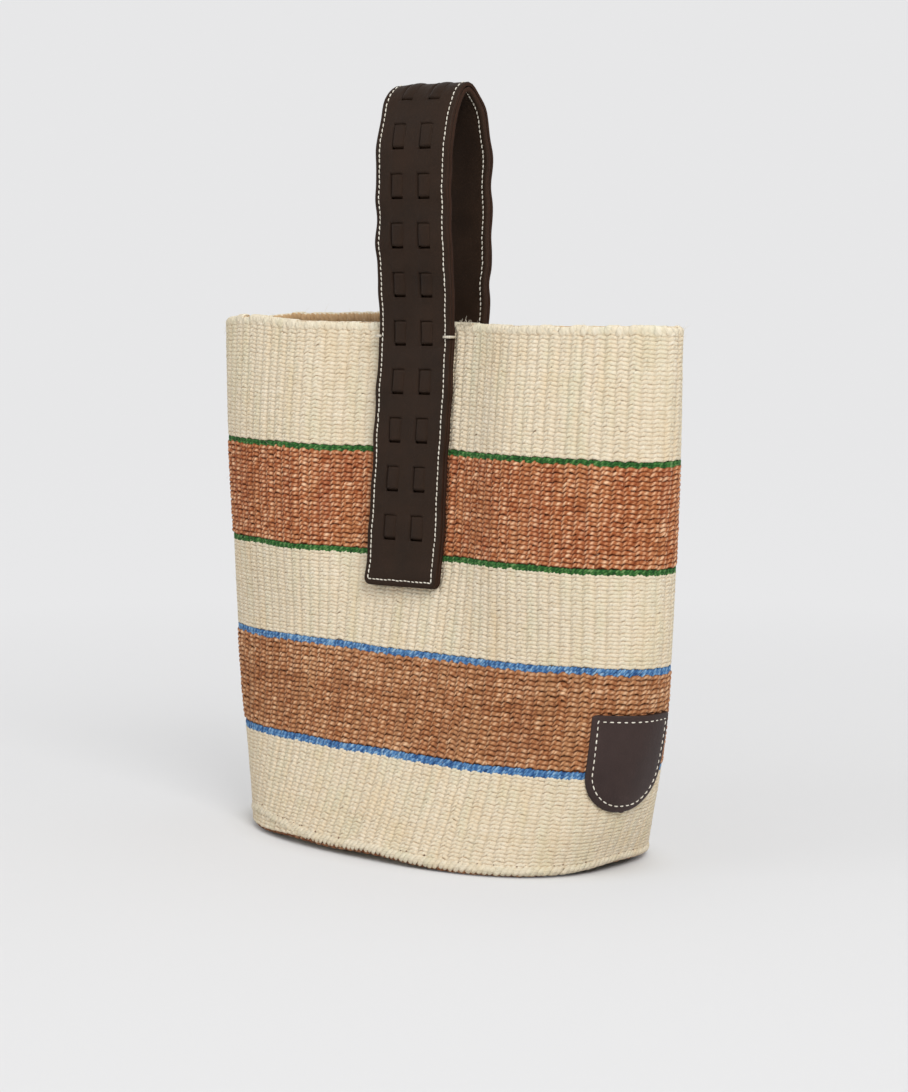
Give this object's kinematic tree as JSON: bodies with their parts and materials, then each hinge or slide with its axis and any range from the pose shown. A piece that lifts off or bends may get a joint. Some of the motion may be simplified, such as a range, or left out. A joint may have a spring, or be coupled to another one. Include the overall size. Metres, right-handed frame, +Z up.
{
  "type": "woven basket bag",
  "caption": "Tall oval sisal basket with banded twined weave, pressed nearly flat at the mouth, and a wide double leather strap with woven-in laces that stands as a loop over the opening.",
  "frame": {"origin": "under the middle of the base, on the surface that the basket stands on", "axes": "+Z up through the mouth and the loop; +X to the right along the wide side, towards the patch; -Y out of the front, the side with the visible strap end"},
  "size_m": [0.324, 0.1436, 0.4225],
  "materials": {
    "natural": "undyed sisal, matt, slightly fibrous",
    "terracotta": "dyed sisal, matt",
    "brown": "dyed sisal, matt",
    "green": "dyed sisal, matt",
    "blue": "dyed sisal, matt",
    "leather": "dark brown, semi-matt, raw edges",
    "thread": "waxed cream thread"
  },
  "bodies": {
    "basket": {"weft_base": "natural", "base_edge_row": "natural", "warp_strands": "natural", "weft_natural_lower": "natural", "stripe_blue_lower": "blue", "weft_brown": "brown", "stripe_blue_upper": "blue", "weft_natural_middle": "natural", "stripe_green_lower": "green", "weft_terracotta": "terracotta", "stripe_green_upper": "green", "weft_natural_upper": "natural", "rim_binding": "natural", "leather_patch": "leather", "rim_tie_front_left": "thread", "rim_tie_front_right": "thread", "rim_tie_back_left": "thread", "rim_tie_back_right": "thread", "strap_front_outer": "leather", "strap_front_lining": "leather", "strap_front_lace_left": "leather", "strap_front_lace_right": "leather", "strap_back_outer": "leather", "strap_back_lining": "leather", "strap_back_lace_left": "leather", "strap_back_lace_right": "leather", "bend_front_outer": "leather", "bend_front_lining": "leather", "bend_front_lace_left": "leather", "bend_front_lace_right": "leather", "bend_back_outer": "leather", "bend_back_lining": "leather", "bend_back_lace_left": "leather", "bend_back_lace_right": "leather"},
    "handle_loop": {"handle_outer": "leather", "handle_lining": "leather", "handle_lace_left": "leather", "handle_lace_right": "leather"}
  },
  "joints": [
    {"name": "handle_sway", "type": "hinge", "parent": "basket", "child": "handle_loop", "pos_m": [0, 0, 0.2979], "axis": [1, 0, 0], "range_deg": [-25, 25], "stiffness_Nm_per_rad": 0.6, "deforming": ["bend_front_outer", "bend_front_lining", "bend_front_lace_left", "bend_front_lace_right", "bend_back_outer", "bend_back_lining", "bend_back_lace_left", "bend_back_lace_right"]}
  ]
}
